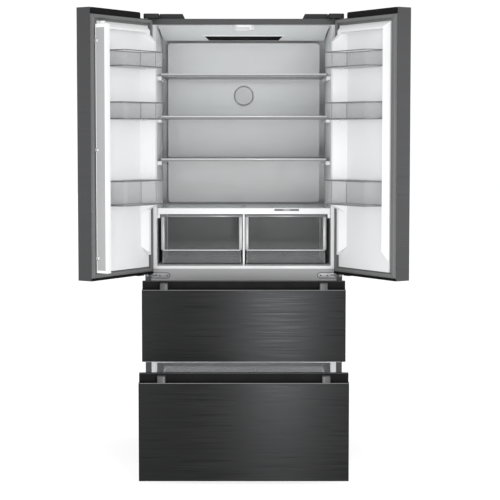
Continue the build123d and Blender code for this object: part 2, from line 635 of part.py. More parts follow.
fx, fy, fz = FREEZER_FAN
freezer_motor = rod_y(fx, fy + 12, 548, fz, 20) + rod_y(fx, fy - 6, fy + 12, fz, MOTOR_PIN)
freezer_motor += block(-30, 30, 548, FRIDGE_DEPTH, fz - 30, fz + 30)
cx, cy, cz = CONDENSER_FAN
shroud = block(cx - 48, cx - 44, 462, 602, CASE_BOTTOM, 250) - rod_x(cx - 50, cx - 42, cy, cz, 62)
shroud += rod_x(cx - 48, cx - 14, cy, cz, 18) + rod_x(cx - 14, cx + 8, cy, cz, MOTOR_PIN)
for spoke in (-1, 1):
    shroud += block(cx - 48, cx - 44, cy - 5, cy + 5, min(cz, cz + spoke * 64), max(cz, cz + spoke * 64))
parts["fan_motors"] = group(freezer_motor, shroud)

pot = Pos(250, 530, 118) * Cylinder(64, 96)
pot += Pos(250, 530, 166) * scale(Sphere(64), (1, 1, 0.5))
pot += Pos(250, 530, 70) * scale(Sphere(64), (1, 1, 0.35))
pot += block(165, 335, 500, 560, CASE_BOTTOM, CASE_BOTTOM + 10)
pot += Pos(250, 530, 50) * Cylinder(40, 20)
parts["compressor"] = pot

coil_points = []
for turn in range(5):
    coil_z = 62 + turn * 40
    coil_points.append((-120, 500, coil_z))
    coil_points.append((110, 500, coil_z))
    coil_points.append((110, 500, coil_z + 20))
    coil_points.append((-120, 500, coil_z + 20))
front_coil = tube(coil_points, 3, 9)
rear_coil = tube([(x, 570, z) for x, y, z in coil_points], 3, 9)
condenser = front_coil + rear_coil
for plate_x in (-80, 66):
    condenser += block(plate_x, plate_x + 2, 490, 580, CASE_BOTTOM, 252)
parts["condenser"] = condenser

parts["drain_pan"] = block(180, 320, 470, 595, 198, 224) - block(183, 317, 473, 592, 201, 225)
control_box = block(-400, -300, 556, CASE_D, 60, 290) - block(-397, -303, 559, CASE_D + 1, 63, 287)
board = block(-395, -305, 578, 580, 66, 284)
for post_x in (-388, -312):
    for post_z in (74, 276):
        board += rod_y(post_x, 559, 578, post_z, 3)
parts["control_box"] = group(control_box, board)

back_cover = block(-HALF + 6, HALF - 6, CASE_D, CASE_D + 2, 44, MACHINE_Z1 - 2)
for column in range(-3, 4):
    for row in range(8):
        slot_x = column * 100 + 20
        slot_z = 80 + row * 26
        if slot_x > -300:
            back_cover -= block(slot_x - 34, slot_x + 34, CASE_D - 1, CASE_D + 3, slot_z, slot_z + 7)
rear_panel = block(-HALF, HALF, CASE_D, CASE_D + 1.5, MACHINE_Z1 + 1, CASE_TOP)
parts["rear_panels"] = group(rear_panel, back_cover)
inlet = block(-362, -334, CASE_D + 2, CASE_D + 8, 228, 256) + rod_y(-348, CASE_D + 2, CASE_D + 10, 242, 9)
parts["power_inlet"] = inlet - rod_y(-348, CASE_D + 4, CASE_D + 11, 242, 4)

# --------------------------------------------------------------------- output
os.makedirs("parts", exist_ok=True)
for name, shape in parts.items():
    export_step(Pos(0, FRAME_SHIFT, 0) * shape, f"parts/{name}.step")
print(len(parts), "nodes")
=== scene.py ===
import bmesh
import bpy
import json
import math
from mathutils import Matrix, Vector


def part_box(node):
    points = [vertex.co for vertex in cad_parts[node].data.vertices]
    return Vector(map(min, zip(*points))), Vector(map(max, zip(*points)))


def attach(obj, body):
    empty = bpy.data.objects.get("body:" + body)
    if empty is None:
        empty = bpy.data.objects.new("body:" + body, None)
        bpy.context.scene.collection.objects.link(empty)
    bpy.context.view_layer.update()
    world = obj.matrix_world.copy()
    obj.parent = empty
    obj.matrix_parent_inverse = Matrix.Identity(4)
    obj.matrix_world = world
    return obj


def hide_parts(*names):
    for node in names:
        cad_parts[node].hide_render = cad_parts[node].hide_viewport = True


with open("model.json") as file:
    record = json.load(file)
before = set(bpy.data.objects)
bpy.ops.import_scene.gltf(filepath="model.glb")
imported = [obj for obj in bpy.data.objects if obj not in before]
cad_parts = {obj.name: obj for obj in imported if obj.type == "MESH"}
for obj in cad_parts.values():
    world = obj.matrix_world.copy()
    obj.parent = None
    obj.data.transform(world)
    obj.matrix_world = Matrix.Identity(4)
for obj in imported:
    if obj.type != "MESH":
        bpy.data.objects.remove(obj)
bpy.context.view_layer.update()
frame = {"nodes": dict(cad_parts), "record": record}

NODES = frame["nodes"]
JOINTS = {joint["name"]: joint for joint in frame["record"]["behaviour"]["joints"]}
MM = 0.001

# the stored pose: how far each door and drawer stands open from shut
DOOR_ANGLE = math.radians(-JOINTS["left_door_hinge"]["range_deg"][0])
UPPER_OUT = -JOINTS["upper_drawer_slide"]["range_m"][0]
LOWER_OUT = -JOINTS["lower_drawer_slide"]["range_m"][0]
LEFT_PIVOT = Vector(JOINTS["left_door_hinge"]["pos_m"])
RIGHT_PIVOT = Vector(JOINTS["right_door_hinge"]["pos_m"])
FRONT_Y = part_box("outer_case")[0].y

# design sizes in millimetres, with the doors and drawers shut and the cabinet's front at y = 0
MULLION_AXIS = (-23.5, 9.0)
LUG_Z = (900.0, 1330.0, 1760.0)
SHELF_Z = (1651.0, 1471.0, 1289.0)
SHELF_FRONT = 116.0
DRAWER_TOPS = (("upper", 793.0), ("lower", 447.0))
CRISPER_SPANS = (("left", -353.0, -5.5), ("right", 5.5, 353.0))
CRISPER_FRONT = 68.0
COVER_Z = (1052.0, 1079.0)


# the record's pivots and travels turn those shut coordinates into the stored pose
def swing(pivot, angle):
    return Matrix.Translation(pivot) @ Matrix.Rotation(angle, 4, "Z") @ Matrix.Translation(-pivot)


TO_FRAME = Matrix.Translation((0, FRONT_Y, 0)) @ Matrix.Scale(MM, 4)
POSE = {
    "cabinet": TO_FRAME,
    "left_door": swing(LEFT_PIVOT, -DOOR_ANGLE) @ TO_FRAME,
    "right_door": swing(RIGHT_PIVOT, DOOR_ANGLE) @ TO_FRAME,
    "upper_drawer": Matrix.Translation((0, -UPPER_OUT, 0)) @ TO_FRAME,
    "lower_drawer": Matrix.Translation((0, -LOWER_OUT, 0)) @ TO_FRAME,
    "left_crisper": TO_FRAME,
    "right_crisper": TO_FRAME,
}


# ------------------------------------------------------------ node materials
class Shader:
    """A node tree under construction, ending in one Principled BSDF."""

    def __init__(self, name):
        self.mat = bpy.data.materials.new(name)
        self.mat.use_nodes = True
        self.tree = self.mat.node_tree
        self.bsdf = self.tree.nodes["Principled BSDF"]

    def link(self, a, b):
        self.tree.links.new(a, b)

    def coords(self, scale):
        source = self.tree.nodes.new("ShaderNodeTexCoord")
        mapping = self.tree.nodes.new("ShaderNodeMapping")
        mapping.inputs["Scale"].default_value = scale
        self.link(source.outputs["Object"], mapping.inputs["Vector"])
        return mapping.outputs["Vector"]

    def noise(self, scale, detail, rough, stretch=(1, 1, 1)):
        node = self.tree.nodes.new("ShaderNodeTexNoise")
        node.inputs["Scale"].default_value = scale
        node.inputs["Detail"].default_value = detail
        node.inputs["Roughness"].default_value = rough
        self.link(self.coords(stretch), node.inputs["Vector"])
        return node.outputs["Fac"]

    def ramp(self, fac, low, high, c_low, c_high):
        node = self.tree.nodes.new("ShaderNodeValToRGB")
        node.color_ramp.elements[0].position = low
        node.color_ramp.elements[1].position = high
        node.color_ramp.elements[0].color = (*c_low, 1)
        node.color_ramp.elements[1].color = (*c_high, 1)
        self.link(fac, node.inputs["Fac"])
        return node.outputs["Color"]

    def span(self, fac, lo, hi, out_lo, out_hi):
        node = self.tree.nodes.new("ShaderNodeMapRange")
        node.inputs["From Min"].default_value = lo
        node.inputs["From Max"].default_value = hi
        node.inputs["To Min"].default_value = out_lo
        node.inputs["To Max"].default_value = out_hi
        self.link(fac, node.inputs["Value"])
        return node.outputs["Result"]

    def mix(self, fac, a, b):
        node = self.tree.nodes.new("ShaderNodeMix")
        node.data_type = "RGBA"
        if isinstance(fac, float):
            node.inputs["Factor"].default_value = fac
        else:
            self.link(fac, node.inputs["Factor"])
        for index, value in ((6, a), (7, b)):
            if isinstance(value, tuple):
                node.inputs[index].default_value = (*value, 1)
            else:
                self.link(value, node.inputs[index])
        return node.outputs[2]

    def bump(self, fac, strength, distance):
        node = self.tree.nodes.new("ShaderNodeBump")
        node.inputs["Strength"].default_value = strength
        node.inputs["Distance"].default_value = distance
        self.link(fac, node.inputs["Height"])
        return node.outputs["Normal"]

    def done(self, color=None, rough=None, normal=None, **fixed):
        if color is not None:
            self.link(color, self.bsdf.inputs["Base Color"])
        if rough is not None:
            self.link(rough, self.bsdf.inputs["Roughness"])
        if normal is not None:
            self.link(normal, self.bsdf.inputs["Normal"])
        for key, value in fixed.items():
            self.bsdf.inputs[key.replace("_", " ")].default_value = value
        return self.mat


# painted reflection: paler tones for the door skins' edge returns, standing in for the light those sides
# catch
PAINTED_EDGE_REFLECTION_TONES = ((0.05, 0.0505, 0.052), (0.058, 0.0585, 0.06))


def tint(color, k):
    return tuple(min(1.0, c * k) for c in color)


def moulded(name, color, rough, grain, bump, vary, **fixed):
    """Moulded plastic: faint flow shading, a fine spark-eroded grain and uneven gloss."""
    s = Shader(name)
    broad = s.noise(3.2, 4.0, 0.55)
    fine = s.noise(grain, 2.0, 0.6)
    tone = s.ramp(broad, 0.3, 0.7, tint(color, 1 - vary), tint(color, 1 + vary))
    speck = s.ramp(fine, 0.35, 0.65, tint(color, 1 - vary * 0.5), tint(color, 1 + vary * 0.5))
    colour = s.mix(0.35, tone, speck)
    gloss = s.span(s.noise(14.0, 5.0, 0.6), 0.3, 0.7, rough - 0.05, rough + 0.07)
    return s.done(colour, gloss, s.bump(fine, bump, 0.0004), **fixed)


def brushed(name, dark, light, rough, metallic, run="level", front=None, **fixed):
    """Brushed metal: fine hairlines one way over a slow drift; with front given, the other sides get a paler
    colour as a painted reflection.
    """
    stretch = {"level": (4.0, 4.0, 260.0), "upright": (260.0, 260.0, 4.0)}[run]
    coarse = {"level": (2.2, 2.2, 120.0), "upright": (120.0, 120.0, 2.2)}[run]
    s = Shader(name)
    hair = s.noise(2.6, 5.0, 0.7, stretch)
    band = s.noise(1.6, 3.0, 0.5, coarse)
    drift = s.noise(1.1, 2.0, 0.5)
    fine = s.ramp(hair, 0.2, 0.8, dark, light)
    wide = s.ramp(band, 0.3, 0.7, tint(dark, 1.12), tint(light, 0.9))
    colour = s.mix(0.4, fine, wide)
    colour = s.mix(0.15, colour, s.ramp(drift, 0.3, 0.7, tint(dark, 1.1), tint(light, 0.95)))
    if front is not None:
        source = s.tree.nodes.new("ShaderNodeTexCoord")
        facing = s.tree.nodes.new("ShaderNodeVectorMath")
        facing.operation = "DOT_PRODUCT"
        facing.inputs[1].default_value = front
        s.link(source.outputs["Normal"], facing.inputs[0])
        # painted reflection: sides that face away from the front take the paler edge tones
        edge = s.ramp(band, 0.3, 0.7, *PAINTED_EDGE_REFLECTION_TONES)
        colour = s.mix(s.span(facing.outputs["Value"], 0.75, 0.95, 0.0, 1.0), edge, colour)
    gloss = s.span(band, 0.3, 0.7, rough - 0.07, rough + 0.07)
    return s.done(colour, gloss, s.bump(hair, 0.055, 0.0002), Metallic=metallic, **fixed)


def painted(name, color, rough):
    """Coil-coated sheet: a very fine orange peel and slight tone drift."""
    s = Shader(name)
    peel = s.noise(240.0, 3.0, 0.5)
    drift = s.noise(1.8, 3.0, 0.5)
    colour = s.ramp(drift, 0.3, 0.7, tint(color, 0.96), tint(color, 1.04))
    gloss = s.span(s.noise(9.0, 4.0, 0.6), 0.3, 0.7, rough - 0.015, rough + 0.02)
    return s.done(colour, gloss, s.bump(peel, 0.06, 0.0004))


def zinc(name):
    """Galvanised sheet: a mottled spangle."""
    s = Shader(name)
    cells = s.tree.nodes.new("ShaderNodeTexVoronoi")
    cells.inputs["Scale"].default_value = 70.0
    s.link(s.coords((1, 1, 1)), cells.inputs["Vector"])
    colour = s.ramp(cells.outputs["Distance"], 0.0, 0.7, (0.38, 0.39, 0.4), (0.49, 0.5, 0.51))
    gloss = s.span(cells.outputs["Distance"], 0.0, 0.8, 0.34, 0.52)
    return s.done(colour, gloss, Metallic=0.85)


def clear(name, color, rough, alpha, edge):
    """Clear moulded sheet: see-through face on, denser where it is seen edge on, with faint scuffs."""
    s = Shader(name)
    scuff = s.noise(9.0, 4.0, 0.6, (1, 1, 3))
    gloss = s.span(scuff, 0.35, 0.75, rough, rough + 0.05)
    colour = s.ramp(s.noise(5.0, 2.0, 0.5), 0.3, 0.7, tint(color, 0.94), tint(color, 1.04))
    facing = s.tree.nodes.new("ShaderNodeLayerWeight")
    facing.inputs["Blend"].default_value = 0.35
    s.link(s.span(facing.outputs["Facing"], 0.25, 1.0, alpha, edge), s.bsdf.inputs["Alpha"])
    return s.done(colour, gloss, IOR=1.49)


def crisper_with_painted_shade(name, node, front_alpha=0.06, wall_alpha=0.94):
    """A crisper: clear front, frosted side walls and a near-black back that is painted shade, split by the
    part's own space.
    """
    low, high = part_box(node)
    front_y = low.y
    middle = (low.x + high.x) / 2
    half = (high.x - low.x) / 2
    s = Shader(name)
    split = s.tree.nodes.new("ShaderNodeSeparateXYZ")
    s.link(s.coords((1, 1, 1)), split.inputs["Vector"])
    depth = s.span(split.outputs["Y"], front_y + 0.012, front_y + 0.024, 0.0, 1.0)
    apart = s.tree.nodes.new("ShaderNodeMath")
    apart.operation = "SUBTRACT"
    apart.inputs[1].default_value = middle
    s.link(split.outputs["X"], apart.inputs[0])
    away = s.tree.nodes.new("ShaderNodeMath")
    away.operation = "ABSOLUTE"
    s.link(apart.outputs[0], away.inputs[0])
    flank = s.span(away.outputs[0], half - 0.0105, half - 0.0095, 0.0, 1.0)
    haze = s.noise(6.0, 3.0, 0.5)
    front = s.ramp(haze, 0.3, 0.7, (0.3, 0.305, 0.31), (0.36, 0.365, 0.37))
    # painted shade: the back is near-black and nearly opaque, standing in for the shade inside the crisper
    rear = s.ramp(haze, 0.3, 0.7, (0.035, 0.036, 0.037), (0.055, 0.056, 0.058))
    wall = s.mix(flank, rear, (0.5, 0.505, 0.51))
    colour = s.mix(depth, front, wall)
    s.link(s.span(depth, 0.0, 1.0, front_alpha, wall_alpha), s.bsdf.inputs["Alpha"])
    gloss = s.span(s.noise(40.0, 4.0, 0.6), 0.3, 0.7, 0.3, 0.42)
    return s.done(colour, gloss, IOR=1.49, Specular_IOR_Level=0.2)


FACE_TONES = ((0.006, 0.0061, 0.0064), (0.0205, 0.0208, 0.0214))
LEFT_FRONT = (-math.sin(DOOR_ANGLE), -math.cos(DOOR_ANGLE), 0.0)
RIGHT_FRONT = (math.sin(DOOR_ANGLE), -math.cos(DOOR_ANGLE), 0.0)
BRUSHING = {"Anisotropic": 0.75, "Anisotropic_Rotation": 0.25}
M = {
    "face": brushed("face_black_steel", *FACE_TONES, 0.33, 0.92, **BRUSHING),
    "left_face": brushed("left_door_black_steel", *FACE_TONES, 0.33, 0.92, front=LEFT_FRONT, **BRUSHING),
    "right_face": brushed("right_door_black_steel", *FACE_TONES, 0.33, 0.92, front=RIGHT_FRONT, **BRUSHING),
    "case": painted("case_dark_paint", (0.034, 0.035, 0.037), 0.4),
    "white": moulded("liner_white", (0.69, 0.695, 0.7), 0.34, 500.0, 0.03, 0.012),
    "ceiling": moulded("ceiling_white", (0.9, 0.905, 0.91), 0.4, 500.0, 0.03, 0.012),
    "door_white": moulded("door_liner_white", (0.66, 0.665, 0.67), 0.36, 500.0, 0.03, 0.012),
    "panel": moulded("panel_grey", (0.6, 0.605, 0.61), 0.4, 500.0, 0.05, 0.03),
    "grey": moulded("frame_grey", (0.125, 0.126, 0.128), 0.5, 600.0, 0.1, 0.05),
    "rib": moulded("rib_grey", (0.032, 0.032, 0.033), 0.45, 600.0, 0.08, 0.05),
    "bar": painted("bar_light_grey", (0.31, 0.31, 0.315), 0.42),
    "black": moulded("cap_black", (0.0035, 0.0035, 0.004), 0.55, 650.0, 0.1, 0.1, Specular_IOR_Level=0.1),
    "cover": moulded("cover_black", (0.02, 0.02, 0.021), 0.5, 650.0, 0.1, 0.08, Specular_IOR_Level=0.2),
    "rubber": moulded("gasket_rubber", (0.12, 0.12, 0.122), 0.62, 400.0, 0.12, 0.06),
    "plate": painted("mullion_plate_grey", (0.3, 0.3, 0.305), 0.34),
    "hinge": brushed("hinge_steel", (0.2, 0.2, 0.205), (0.34, 0.34, 0.345), 0.34, 1.0),
    "trim": moulded("shelf_trim_grey", (0.2, 0.2, 0.205), 0.4, 500.0, 0.03, 0.04),
    "zinc": zinc("galvanised_sheet"),
    "rail": brushed("rail_steel", (0.42, 0.43, 0.44), (0.66, 0.67, 0.68), 0.28, 1.0),
    "alu": brushed("fin_aluminium", (0.6, 0.61, 0.62), (0.85, 0.86, 0.87), 0.3, 1.0, "upright"),
    "foam": moulded("rigid_foam", (0.72, 0.64, 0.42), 0.85, 160.0, 0.5, 0.08),
    "black_metal": painted("black_enamel", (0.012, 0.012, 0.013), 0.3),
    "wheel": moulded("wheel_nylon", (0.04, 0.04, 0.04), 0.5, 500.0, 0.1, 0.08),
    "glass": clear("shelf_glass_clear", (0.72, 0.8, 0.78), 0.05, 0.16, 0.7),
    "clear": clear("bin_clear_plastic", (0.42, 0.43, 0.44), 0.08, 0.1, 0.7),
    "basket": clear("basket_clear_plastic", (0.6, 0.61, 0.62), 0.1, 0.3, 0.85),
    "rim": moulded("rim_smoke", (0.15, 0.153, 0.158), 0.22, 500.0, 0.02, 0.05),
    "band": moulded("crisper_band", (0.36, 0.365, 0.37), 0.2, 500.0, 0.02, 0.05),
    "lip": moulded("lip_light", (0.62, 0.63, 0.64), 0.2, 500.0, 0.02, 0.04),
    "crisper_l": crisper_with_painted_shade("crisper_left_plastic", "crisper_left"),
    "crisper_r": crisper_with_painted_shade("crisper_right_plastic", "crisper_right"),
    "lens": moulded(
        "lamp_lens_black", (0.002, 0.002, 0.0022), 0.7, 500.0, 0.0, 0.05, Specular_IOR_Level=0.03),
    "vent": moulded("vent_grey", (0.5, 0.505, 0.51), 0.4, 600.0, 0.06, 0.04),
    # painted shade: near-black for the screw driver recesses
    "dark": moulded("recess_painted_shade", (0.01, 0.01, 0.01), 0.6, 500.0, 0.05, 0.05),
}

NODE_LOOK = {
    "outer_case": "case", "rear_panels": "zinc", "base_pan": "zinc", "cabinet_foam": "foam",
    "liners": "white", "crossbars": "bar", "front_feet": "black", "roller_left": "wheel",
    "roller_right": "wheel", "hinge_hardware": "hinge", "top_hinge_covers": "cover",
    "mullion_guide": "white", "lamp_housing": "ceiling", "lamp_lens": "lens", "back_panels": "panel",
    "vent_outlet": "vent", "glass_plates": "glass", "shelf_trims": "trim", "crisper_frame": "white",
    "humidity_slider": "bar", "crisper_left": "crisper_l", "crisper_right": "crisper_r",
    "mullion_body": "white", "mullion_plate": "plate", "rail_fixed": "rail", "evaporator": "alu",
    "condenser": "black_metal", "compressor": "black_metal", "fan_motors": "zinc",
    "freezer_fan": "white", "condenser_fan": "black", "drain_pan": "black", "control_box": "white",
    "power_inlet": "black", "left_door_skin": "left_face", "right_door_skin": "right_face",
}
PART_LOOK = {
    "_door_panel": "grey", "_door_caps": "black", "_door_liner": "door_white",
    "_door_bins": "clear", "_door_gasket": "rubber", "_drawer_skin": "face", "_drawer_channel": "black",
    "_drawer_panel": "white", "_drawer_gasket": "rubber", "_drawer_basket": "basket",
    "_drawer_rail_middle": "rail", "_drawer_rail_carrier": "rail",
}
for side in ("left", "right", "upper", "lower"):
    for suffix, look in PART_LOOK.items():
        if side + suffix in NODES:
            NODE_LOOK[side + suffix] = look


def dress(obj, look):
    obj.data.materials.clear()
    obj.data.materials.append(M[look])


def soften(obj, width, segments=2):
    """Rounds the sharp edges of a CAD node with a modifier."""
    mod = obj.modifiers.new("edge", "BEVEL")
    mod.width = width
    mod.segments = segments
    mod.limit_method = "ANGLE"
    mod.angle_limit = math.radians(40)
    mod.harden_normals = True


for node_name, look in NODE_LOOK.items():
    dress(NODES[node_name], look)

EDGE_WIDTHS = (
    (0.3, ("outer_case", "rear_panels")),
    (0.5, ("vent_outlet",)),
    (0.6, ("liners",)),
    (0.8, ("crossbars", "lamp_housing", "upper_drawer_basket", "lower_drawer_basket", "left_door_bins",
           "right_door_bins", "crisper_left", "crisper_right")),
    (1.0, ("left_door_caps", "right_door_caps", "left_door_panel", "right_door_panel", "mullion_body",
           "upper_drawer_channel", "lower_drawer_channel", "back_panels")),
    (1.2, ("shelf_trims", "crisper_frame", "mullion_guide")),
    (1.5, ("left_door_liner", "right_door_liner")),
)
for width, node_names in EDGE_WIDTHS:
    for node_name in node_names:
        soften(NODES[node_name], width * MM)


# ------------------------------------------------------------- piece builders
def piece(name, bm, look, body):
    """Turns a bmesh in shut millimetres into a piece in the stored pose, riding on its body."""
    bmesh.ops.recalc_face_normals(bm, faces=bm.faces)
    mesh = bpy.data.meshes.new(name)
    bm.to_mesh(mesh)
    bm.free()
    mesh.transform(POSE[body])
    mesh.shade_smooth()
    mesh.set_sharp_from_angle(angle=math.radians(38))
    mesh.materials.append(M[look])
    obj = bpy.data.objects.new(name, mesh)
    bpy.context.scene.collection.objects.link(obj)
    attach(obj, body)
    return obj


def rounded(points, radii, steps=6):
    """Rounds each corner of a closed outline with an arc of its own radius."""
    out = []
    count = len(points)
    for index, corner in enumerate(points):
        here = Vector(corner)
        back = (Vector(points[index - 1]) - here).normalized()
        ahead = (Vector(points[(index + 1) % count]) - here).normalized()
        radius = radii[index] if isinstance(radii, (list, tuple)) else radii
        half = back.angle(ahead) / 2
        reach = radius / math.tan(half)
        centre = here + (back + ahead).normalized() * (radius / math.sin(half))
        first = here + back * reach - centre
        last = here + ahead * reach - centre
        for step in range(steps + 1):
            mix = first.lerp(last, step / steps).normalized() * radius
            out.append(centre + mix)
    return out


def offset(outline, distance):
    """Moves a closed outline outwards, keeping its corners matched."""
    area = sum(a.x * b.y - b.x * a.y for a, b in zip(outline, outline[1:] + outline[:1]))
    sign = 1.0 if area > 0 else -1.0
    out = []
    count = len(outline)
    for index, here in enumerate(outline):
        before = (here - outline[index - 1]).normalized()
        after = (outline[(index + 1) % count] - here).normalized()
        n0 = Vector((before.y, -before.x)) * sign
        n1 = Vector((after.y, -after.x)) * sign
        normal = (n0 + n1).normalized()
        out.append(here + normal * (distance / max(0.3, normal.dot(n0))))
    return out


def sweep(bm, outline, profile, lay, closed=True):
    """Runs a profile of (outward, up) points round a closed outline; lay turns (u, v, up) into a point."""
    rings = []
    for outward, up in profile:
        ring = offset(outline, outward) if outward else outline
        rings.append([bm.verts.new(lay(p.x, p.y, up)) for p in ring])
    pairs = list(zip(rings, rings[1:] + rings[:1])) if closed else list(zip(rings, rings[1:]))
    count = len(outline)
    for low, high in pairs:
        for index in range(count):
            after = (index + 1) % count
            bm.faces.new((low[index], low[after], high[after], high[index]))
    return rings


def lay_xy(u, v, up):
    return (u, v, up)


def lay_xz(u, v, up):
    return (u, up, v)


def rect(x0, x1, z0, z1):
    return [Vector((x0, z0)), Vector((x1, z0)), Vector((x1, z1)), Vector((x0, z1))]


def soft_block(bm, x0, x1, y0, y1, z0, z1, radius):
    """A block with every edge rounded."""
    made = bmesh.ops.create_cube(bm, size=1.0)
    size = Matrix.Diagonal((x1 - x0, y1 - y0, z1 - z0, 1))
    place = Matrix.Translation(((x0 + x1) / 2, (y0 + y1) / 2, (z0 + z1) / 2)) @ size
    bmesh.ops.transform(bm, matrix=place, verts=made["verts"])
    edges = {edge for vert in made["verts"] for edge in vert.link_edges}
    bmesh.ops.bevel(bm, geom=list(edges), offset=radius, segments=3, profile=0.5, affect="EDGES")


def ring_at(centre, radius, steps=40):
    """A circle of points in the plane of an outline."""
    turns = [2 * math.pi * step / steps for step in range(steps)]
    return [Vector(centre) + radius * Vector((math.cos(turn), math.sin(turn))) for turn in turns]


def dome(bm, outline, profile, lay):
    """A raised pad: rings round the outline, closed by a flat top."""
    rings = sweep(bm, outline, profile, lay, closed=False)
    bm.faces.new(rings[-1])


# --------------------------------------------------------------- door gaskets
BELLOWS = [
    (0, -12), (0, -9.6), (0.9, -8.6), (0.9, -6.8), (-0.4, -5.9), (0.5, -5.0), (0.8, -2.6), (0, -1.0),
    (-1.8, -0.5), (-10, -0.5), (-11.8, -1.0), (-12.6, -2.6), (-12.3, -5.0), (-11.4, -5.9), (-12.7, -6.8),
    (-12.7, -8.6), (-11.8, -9.6), (-11.8, -12),
]


def gasket(name, node, body, x0, x1, z0, z1):
    bm = bmesh.new()
    sweep(bm, rounded(rect(x0, x1, z0, z1), 3.0, 3), BELLOWS, lay_xz)
    obj = piece(name, bm, "rubber", body)
    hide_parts(node)


gasket("left_door_bellows", "left_door_gasket", "left_door", -400.5, -5.5, 824, 1863)
gasket("right_door_bellows", "right_door_gasket", "right_door", 5.5, 400.5, 824, 1863)
gasket("upper_drawer_bellows", "upper_drawer_gasket", "upper_drawer", -404, 404, 471, 765)
gasket("lower_drawer_bellows", "lower_drawer_gasket", "lower_drawer", -404, 404, 58, 441)


# ------------------------------------------------------- mullion pivot covers
bm = bmesh.new()
for z in LUG_Z:
    soft_block(bm, -29.8, -21.2, -12.0, 9.0, z - 6.3, z + 6.3, 1.0)
    ring = ring_at(MULLION_AXIS, 6.3, 24)
    profile = [(-0.8, z - 6.3), (0, z - 5.5), (0, z + 5.5), (-0.8, z + 6.3)]
    rings = sweep(bm, ring, profile, lay_xy, closed=False)
    bm.faces.new(rings[0])
    bm.faces.new(rings[-1])
piece("mullion_lug_covers", bm, "white", "left_door")

# ------------------------------------------------------------------ door bins
BIN_HEIGHTS = ((1662.0, 66.0), (1452.0, 70.0), (1105.0, 100.0))
BIN_FREE_X = {"left": -90.0, "right": -64.0}
RIM_PROFILE = ((0.5, -3.4), (1.1, -1.6), (0.5, 0.3), (-2.2, 0.5), (-3.0, -1.4), (-2.6, -3.4))
FOOT_PROFILE = ((0.15, -0.2), (0.5, 2.2), (0.1, 5.0), (-1.4, 4.6), (-1.4, -0.2))


def bin_outline(side):
    free = BIN_FREE_X[side]
    plan = [(-351, 92), (free, 92), (free, -4), (-321, -4), (-351, 50)]
    outline = rounded(plan, [14, 14, 2, 2, 4], 6)
    return outline if side == "left" else [Vector((-p.x, p.y)) for p in outline]


for side in ("left", "right"):
    rims = bmesh.new()
    feet = bmesh.new()
    around = bin_outline(side)
    for z0, height in BIN_HEIGHTS:
        top = z0 + height
        sweep(rims, around, [(outward, top + up) for outward, up in RIM_PROFILE], lay_xy)
        sweep(feet, around, [(outward, z0 + up) for outward, up in FOOT_PROFILE], lay_xy)
    piece(side + "_bin_rims", rims, "rim", side + "_door")
    piece(side + "_bin_base_edges", feet, "rim", side + "_door")
    flip = 1 if side == "left" else -1
    posts = bmesh.new()
    for z0, height in BIN_HEIGHTS:
        for x, y in ((-350.2, 51.0), (-320.4, -3.2), (BIN_FREE_X[side] - 0.8, -3.2)):
            soft_block(posts, flip * x - 0.9, flip * x + 0.9, y - 0.9, y + 0.9, z0 + 2, z0 + height - 2, 0.5)
    piece(side + "_bin_corners", posts, "rim", side + "_door")

# -------------------------------------------------------------- crisper edges
for side, x0, x1 in CRISPER_SPANS:
    bm = bmesh.new()
    soft_block(bm, x0 + 7, x1 - 7, CRISPER_FRONT + 2.4, CRISPER_FRONT + 7, 896.5, 900.8, 1.2)
    piece(side + "_crisper_lip", bm, "lip", side + "_crisper")
    bm = bmesh.new()
    soft_block(bm, x0 + 1, x1 - 1, CRISPER_FRONT - 2.3, CRISPER_FRONT + 0.5, 1040.5, 1048.6, 1.0)
    piece(side + "_crisper_rim", bm, "rim", side + "_crisper")
    bm = bmesh.new()
    for left in (x0 + 1, x1 - 15):
        soft_block(bm, left, left + 14, CRISPER_FRONT - 0.6, CRISPER_FRONT + 2.4, 900.0, 1041.0, 1.2)
    piece(side + "_crisper_bands", bm, "band", side + "_crisper")

# --------------------------------------------------------------- shelf fronts
bm = bmesh.new()
for z in SHELF_Z:
    soft_block(bm, -354, 354, SHELF_FRONT - 0.8, SHELF_FRONT + 1, z - 4.6, z - 0.6, 0.7)
piece("shelf_front_strips", bm, "lip", "cabinet")

# grey inlay behind the humidity slider, in its notch
bm = bmesh.new()
soft_block(bm, 130.4, 235.6, 69.82, 70.4, COVER_Z[0] + 14.4, COVER_Z[1] - 4.4, 0.08)
piece("humidity_inlay", bm, "grey", "cabinet")

# --------------------------------------------------- finger channel ribs; face lips with a painted highlight
for which, top in DRAWER_TOPS:
    body = which + "_drawer"
    ribs = bmesh.new()
    lines = bmesh.new()
    for mid in (-325.0, 325.0):
        soft_block(ribs, mid - 16, mid + 16, -80.2, -38.2, top - 57.6, top - 5.4, 1.6)
        inner = mid - 9 if mid > 0 else mid + 9
        soft_block(lines, inner - 2.2, inner + 2.2, -80.9, -78.0, top - 56, top - 8, 0.8)
    piece(which + "_channel_ribs", ribs, "rib", body)
    piece(which + "_rib_lines", lines, "rubber", body)
    # painted highlight: a thin strip in the gasket grey along each drawer face's lip, paler than the black
    # steel, stands in for the light its bevelled edge catches
    lip = bmesh.new()
    soft_block(lip, -414.6, 414.6, -82.25, -80.9, top - 34.4, top - 31.9, 0.5)
    piece(which + "_face_lip_highlight", lip, "rubber", body)
    edge = bmesh.new()
    soft_block(edge, -413.0, 413.0, -38.4, -35.0, top - 1.6, top + 0.4, 0.6)
    piece(which + "_channel_edge", edge, "rib", body)


# ----------------------------------------------------------- screws, fittings
def star_at(centre, radius, steps=36):
    """The outline of a six-lobed driver recess."""
    out = []
    for step in range(steps):
        turn = 2 * math.pi * step / steps
        reach = radius * (1 + 0.16 * math.cos(6 * turn))
        out.append(Vector(centre) + reach * Vector((math.cos(turn), math.sin(turn))))
    return out


